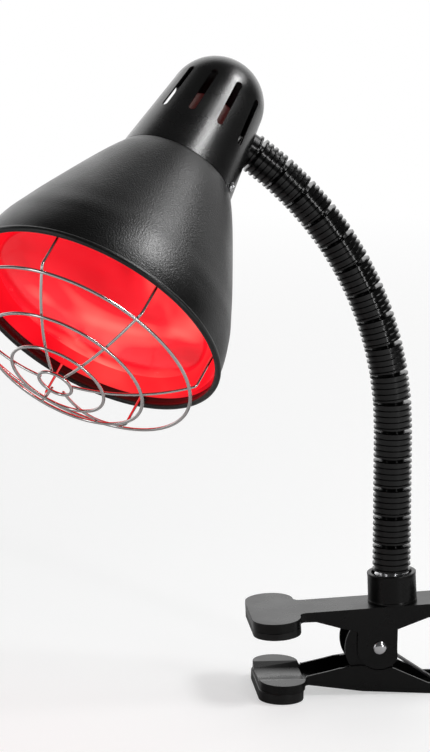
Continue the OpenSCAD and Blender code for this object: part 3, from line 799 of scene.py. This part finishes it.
@dataclass
class Bulb:
    """A pressed-glass reflector bulb with a domed face, its seam rim and three nubs."""

    rim: float = 60.5
    rim_station: float = 85.8
    edge: float = 89.8
    front: float = 96.8
    waist: float = 20.0
    spread: float = 37.5
    stub: float = 11.2
    nubs: tuple[float, ...] = (47.0, 155.0, 291.0)
    nub_radius: float = 55.0
    nub_size: tuple[float, float] = (1.5, 1.2)
    nub_sink: float = 0.2

    def build(self) -> None:
        """Builds the glass: r = sqrt(waist^2 + spread z) behind the rim, and a shallow dome in front."""
        z = np.linspace(0, self.rim_station, 40)
        body = np.stack([np.sqrt(self.waist**2 + self.spread * z), z], 1)
        r = np.linspace(self.rim - 0.6, 0.02, 40)
        face = np.stack([r, self.front - (self.front - self.edge) * (r / self.rim) ** 2], 1)
        stub = [[self.stub, -14], [self.stub, -9.3]]
        neck = smooth_path([*stub, [12.4, -7.4], [15.4, -3.2], [self.waist, 0.0]], 5)
        seam = rounded([[self.rim - 0.5, self.rim_station], [self.rim, self.rim_station + 0.6],
                        [self.rim, self.edge - 0.8], [self.rim - 0.6, self.edge]], 0.4, 4, False)
        profile = np.vstack([[[0.02, -14.0]], neck[:-1], body[:-1], seam, face[1:]])
        head = SKELETON.head()
        grids = [(head.world(revolve(profile, 160)), False)]
        for angle in self.nubs:
            a = math.radians(angle)
            drop = self.front - (self.front - self.edge) * (self.nub_radius / self.rim) ** 2
            u = np.radians(np.linspace(-90, 90, 13))
            wide, tall = self.nub_size
            ball = revolve(np.stack([wide * np.cos(u) + 0.002, tall * np.sin(u)], 1), 24)
            ball += [self.nub_radius * math.cos(a), self.nub_radius * math.sin(a), drop - self.nub_sink]
            grids.append((head.world(ball), False))
        obj = make_piece("bulb_glass_pressed", grids, 40)
        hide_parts("bulb_glass")
        dress(obj, Finishes.GLASS, "head")


@dataclass
class WireGuard:
    """Four rings on a sphere and six spokes under them, with feet hooked behind the bead."""

    sphere: float = 108.5
    centre: float = 34.1
    ring_wire: float = 0.9
    spoke_wire: float = 0.8
    rings: tuple[float, ...] = (4.97, 14.08, 24.62, 37.73)
    spokes: tuple[float, ...] = (36.0, 100.0, 141.0, 214.0, 264.5, 313.0)
    finish_angle: float = 38.9
    bend: float = 3.0
    foot_bend: float = 2.0
    lip_station: float = 94.8
    tip: float = 71.4
    weld: float = 0.2
    foot_gap: float = 0.1

    def ring(self, angle: float) -> Array:
        """Returns one ring: a circle of radius R sin a at the station c + R cos a."""
        t = np.linspace(0, 2 * np.pi, 128, endpoint=False)
        a = math.radians(angle)
        wide, station = self.sphere * math.sin(a), self.centre + self.sphere * math.cos(a)
        path = np.stack([wide * np.cos(t), wide * np.sin(t), np.full_like(t, station)], 1)
        return sweep(path, self.ring_wire, 16, (0, 0, 1), True)

    def spoke(self, angle: float) -> Array:
        """Returns one spoke: an arc under the rings, a bend, a drop and a foot turned out under the bead."""
        radius = self.sphere - self.ring_wire - self.spoke_wire + self.weld
        a = np.radians(np.linspace(self.rings[0], self.finish_angle, 40))
        arc = np.stack([radius * np.sin(a), self.centre + radius * np.cos(a)], 1)
        f = math.radians(self.finish_angle)
        pivot = arc[-1] - self.bend * np.array([math.sin(f), math.cos(f)])
        b = np.radians(np.linspace(self.finish_angle, 90, 9))[1:]
        turn = pivot + self.bend * np.stack([np.sin(b), np.cos(b)], 1)
        low = self.lip_station + self.spoke_wire + self.foot_gap
        hook = np.array([turn[-1, 0] + self.foot_bend, low + self.foot_bend])
        c = np.radians(np.linspace(0, 90, 9))
        foot = hook - self.foot_bend * np.stack([np.cos(c), np.sin(c)], 1)
        drop = np.linspace(turn[-1], foot[0], 6)[1:-1]
        tip = np.array([[self.tip, low]])
        flat = np.vstack([arc, turn, drop, foot, tip])
        path = np.stack([flat[:, 0], np.zeros(len(flat)), flat[:, 1]], 1)
        tube = sweep(path, self.spoke_wire, 14, (0, 1, 0))
        c, s = math.cos(math.radians(angle)), math.sin(math.radians(angle))
        return tube @ np.array([[c, s, 0], [-s, c, 0], [0, 0, 1]])

    def build(self) -> None:
        """Builds the guard as one welded piece."""
        head = SKELETON.head()
        grids = [(head.world(self.ring(a)), True) for a in self.rings]
        grids += [(head.world(self.spoke(a)), False) for a in self.spokes]
        obj = make_piece("wire_guard_welded", grids, 60)
        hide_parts("wire_guard")
        dress(obj, Finishes.CHROME, "head")


# ---------------------------------------------------------------- studio


@dataclass(frozen=True)
class Lamp:
    """One soft studio light."""

    name: str
    place: tuple[float, float, float]
    aim: tuple[float, float, float]
    size: tuple[float, float]
    power: float

    def build(self) -> None:
        """Adds the light and turns it to its aim."""
        light = bpy.data.lights.new(self.name, "AREA")
        light.shape = "RECTANGLE"
        light.size, light.size_y = self.size
        light.energy = self.power
        obj = bpy.data.objects.new(self.name, light)
        bpy.context.scene.collection.objects.link(obj)
        place, aim = np.array(self.place), np.array(self.aim)
        back = (place - aim) / np.linalg.norm(place - aim)
        side = np.cross([0.0, 0.0, 1.0], back)
        side /= np.linalg.norm(side)
        turn = np.array([side, np.cross(back, side), back]).T
        matrix = np.eye(4)
        matrix[:3, :3], matrix[:3, 3] = turn, place
        obj.matrix_world = Matrix(matrix.tolist())


@dataclass
class Studio:
    """Pale floor, white surroundings, soft lights and the camera."""

    azimuth: float = 6.268
    elevation: float = 12.8
    roll: float = -1.0
    target: tuple[float, float, float] = (-36.125, 16.27, 175.7)
    distance: float = 2000.0
    focal: float = 3626.0
    frame_height: float = 752.0
    sensor: float = 36.0
    clip: tuple[float, float] = (0.05, 50.0)
    floor_radius: float = 2.6
    floor_drop: float = 0.0002
    floor_grey: float = 0.56
    floor_lift: float = 0.50
    floor_fade: tuple[float, float] = (0.35, 1.5)
    ambient: float = 0.06
    sweep: float = 1.35
    sweep_depth: tuple[float, float] = (0.35, 0.85)
    sweep_height: tuple[float, float] = (0.80, 0.55)
    lamps: tuple[Lamp, ...] = (
        Lamp("cap_strip", (0.95, -0.13, 1.56), (-0.05, -0.02, 0.32), (0.62, 0.34), 14.0),
        Lamp("right_bank", (1.02, 0.37, 1.44), (-0.05, -0.05, 0.27), (0.75, 0.50), 4.5),
        Lamp("left_low", (-1.45, -0.70, 0.55), (-0.05, 0.0, 0.2), (0.30, 0.9), 2.0),
        Lamp("neck_strip", (0.95, -1.41, 0.60), (0.05, 0.0, 0.2), (0.10, 1.2), 5.0),
    )

    def surroundings(self) -> None:
        """Makes a world that is white to the camera, and as light a pale sweep behind a dark room.

        The sweep's strength falls off with height, and from behind the lamp to its front.
        """
        world = bpy.data.worlds.new("studio")
        bpy.context.scene.world = world
        world.use_nodes = True
        tree = world.node_tree
        white, room = tree.nodes.new("ShaderNodeBackground"), tree.nodes["Background"]
        white.inputs["Color"].default_value = (1, 1, 1, 1)
        room.inputs["Color"].default_value = (1, 1, 1, 1)
        parts = tree.nodes.new("ShaderNodeSeparateXYZ")
        tree.links.new(tree.nodes.new("ShaderNodeTexCoord").outputs["Generated"], parts.inputs[0])
        masks = []
        for axis, (none, full) in (("Y", self.sweep_depth), ("Z", self.sweep_height)):
            fade = tree.nodes.new("ShaderNodeMapRange")
            fade.interpolation_type = "SMOOTHSTEP"
            fade.inputs["From Min"].default_value = none
            fade.inputs["From Max"].default_value = full
            tree.links.new(parts.outputs[axis], fade.inputs["Value"])
            masks.append(fade.outputs["Result"])
        light = link_math(tree, "MULTIPLY", masks[0], masks[1])
        light = link_math(tree, "MULTIPLY", light, self.sweep)
        light = link_math(tree, "ADD", light, self.ambient)
        tree.links.new(light, room.inputs["Strength"])
        rays = tree.nodes.new("ShaderNodeLightPath")
        mix = tree.nodes.new("ShaderNodeMixShader")
        tree.links.new(rays.outputs["Is Camera Ray"], mix.inputs["Fac"])
        tree.links.new(room.outputs[0], mix.inputs[1])
        tree.links.new(white.outputs[0], mix.inputs[2])
        tree.links.new(mix.outputs[0], tree.nodes["World Output"].inputs["Surface"])

    def floor(self) -> None:
        """Builds a round floor that fades into the white surroundings towards its edge."""
        r = np.concatenate([[0.001], np.linspace(0.05, self.floor_radius, 40)])
        grid = revolve(np.stack([r, np.full_like(r, -self.floor_drop)], 1), 96)
        obj = make_piece("studio_floor", [(grid, False)])
        made = bpy.data.materials.new("studio_floor")
        made.use_nodes = True
        tree = made.node_tree
        shader = tree.nodes["Principled BSDF"]
        shader.inputs["Base Color"].default_value = (*[self.floor_grey] * 3, 1)
        shader.inputs["Roughness"].default_value = 0.6
        shader.inputs["Specular IOR Level"].default_value = 0.2
        shader.inputs["Emission Color"].default_value = (1, 1, 1, 1)
        rays = tree.nodes.new("ShaderNodeLightPath")
        lift = link_math(tree, "MULTIPLY", rays.outputs["Is Camera Ray"], self.floor_lift)
        tree.links.new(lift, shader.inputs["Emission Strength"])
        place = tree.nodes.new("ShaderNodeTexCoord").outputs["Object"]
        far = tree.nodes.new("ShaderNodeVectorMath")
        far.operation = "LENGTH"
        tree.links.new(place, far.inputs[0])
        fade = tree.nodes.new("ShaderNodeMapRange")
        fade.inputs["From Min"].default_value = self.floor_fade[0]
        fade.inputs["From Max"].default_value = self.floor_fade[1]
        tree.links.new(far.outputs["Value"], fade.inputs["Value"])
        glow = tree.nodes.new("ShaderNodeEmission")
        mix = tree.nodes.new("ShaderNodeMixShader")
        tree.links.new(fade.outputs["Result"], mix.inputs["Fac"])
        tree.links.new(shader.outputs[0], mix.inputs[1])
        tree.links.new(glow.outputs[0], mix.inputs[2])
        tree.links.new(mix.outputs[0], tree.nodes["Material Output"].inputs["Surface"])
        obj.data.materials.append(made)

    def camera(self) -> None:
        """Places the camera: back along its look direction from the target, then rolled."""
        a, e, q = (math.radians(v) for v in (self.azimuth, self.elevation, self.roll))
        right = np.array([math.cos(a), -math.sin(a), 0.0])
        look = np.array([math.cos(e) * math.sin(a), math.cos(e) * math.cos(a), -math.sin(e)])
        up = np.cross(right, look)
        right, up = right * math.cos(q) - up * math.sin(q), right * math.sin(q) + up * math.cos(q)
        data = bpy.data.cameras.new("photo_camera")
        data.lens = self.focal * self.sensor / self.frame_height
        data.sensor_width = self.sensor
        data.clip_start, data.clip_end = self.clip
        obj = bpy.data.objects.new("photo_camera", data)
        bpy.context.scene.collection.objects.link(obj)
        matrix = np.eye(4)
        matrix[:3, :3] = np.array([right, up, -look]).T
        matrix[:3, 3] = (np.array(self.target) - look * self.distance) * MM
        obj.matrix_world = Matrix(matrix.tolist())
        bpy.context.scene.camera = obj

    def build(self) -> None:
        """Builds the studio."""
        bpy.context.scene.view_settings.view_transform = "Standard"
        self.surroundings()
        self.floor()
        for lamp in self.lamps:
            lamp.build()
        self.camera()


def main() -> None:
    """Builds the lamp from the ground up, then the studio."""
    logging.basicConfig(level=logging.INFO, format="%(name)s: %(message)s")
    Clamp().build()
    Collar().build()
    RibbedNeck().build()
    Head().build()
    Bulb().build()
    WireGuard().build()
    Studio().build()


if __name__ == "__main__":
    main()
